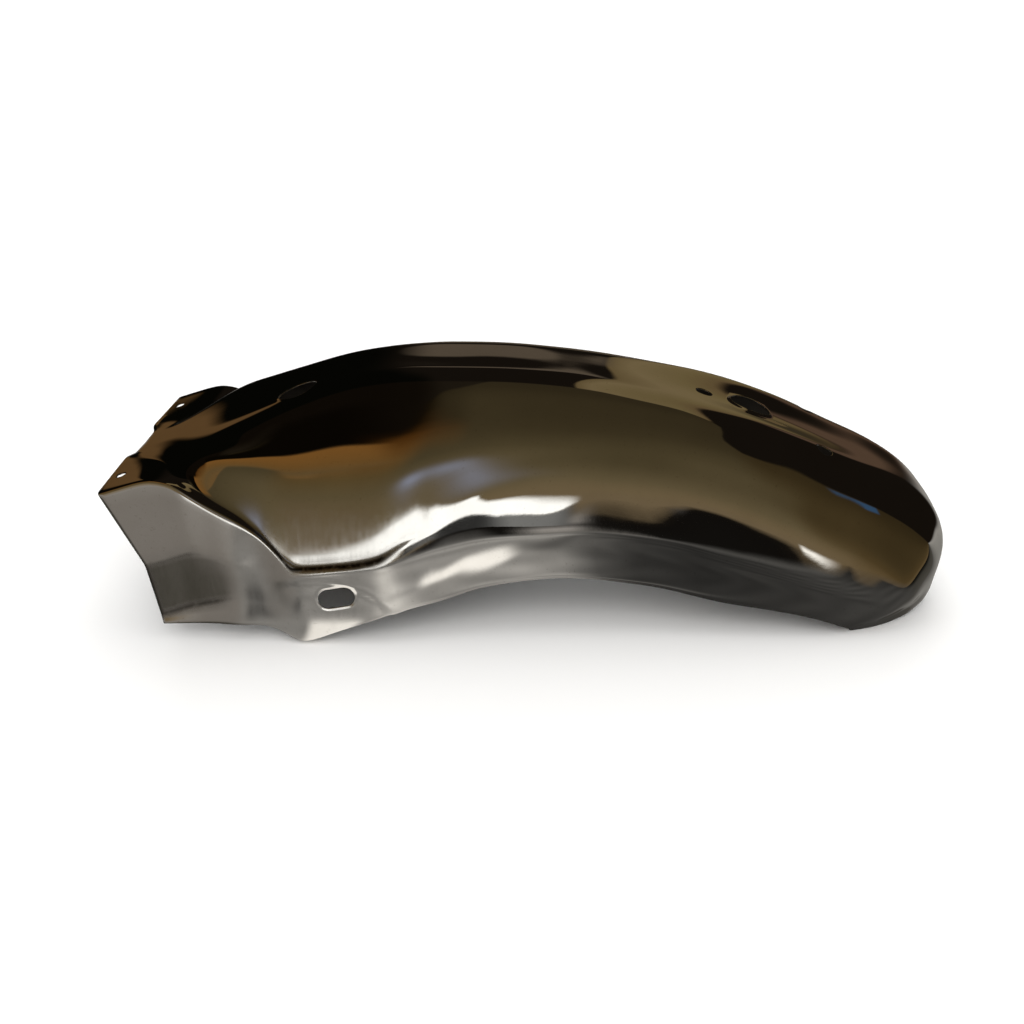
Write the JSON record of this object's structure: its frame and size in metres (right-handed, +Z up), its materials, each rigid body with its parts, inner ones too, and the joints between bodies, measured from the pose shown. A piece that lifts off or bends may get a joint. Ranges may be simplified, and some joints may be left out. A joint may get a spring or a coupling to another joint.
{
  "type": "motorcycle rear mudguard",
  "caption": "Chrome pressed-steel rear mudguard for a motorcycle: an arched trough with a flat crown, boxed front end, slotted side pads, lamp holes and a rounded tail.",
  "frame": {"origin": "centre of the underside of the bounding box, on the floor the guard stands on", "axes": "+X along the guard towards the tail, +Y across it to the rider's right when the front end faces -X, +Z up"},
  "size_m": [0.5906, 0.202, 0.1821],
  "materials": {
    "chrome": "bright chrome plate on steel, lightly marked inside"
  },
  "bodies": {
    "root": {"mudguard_shell": "chrome"}
  },
  "joints": []
}
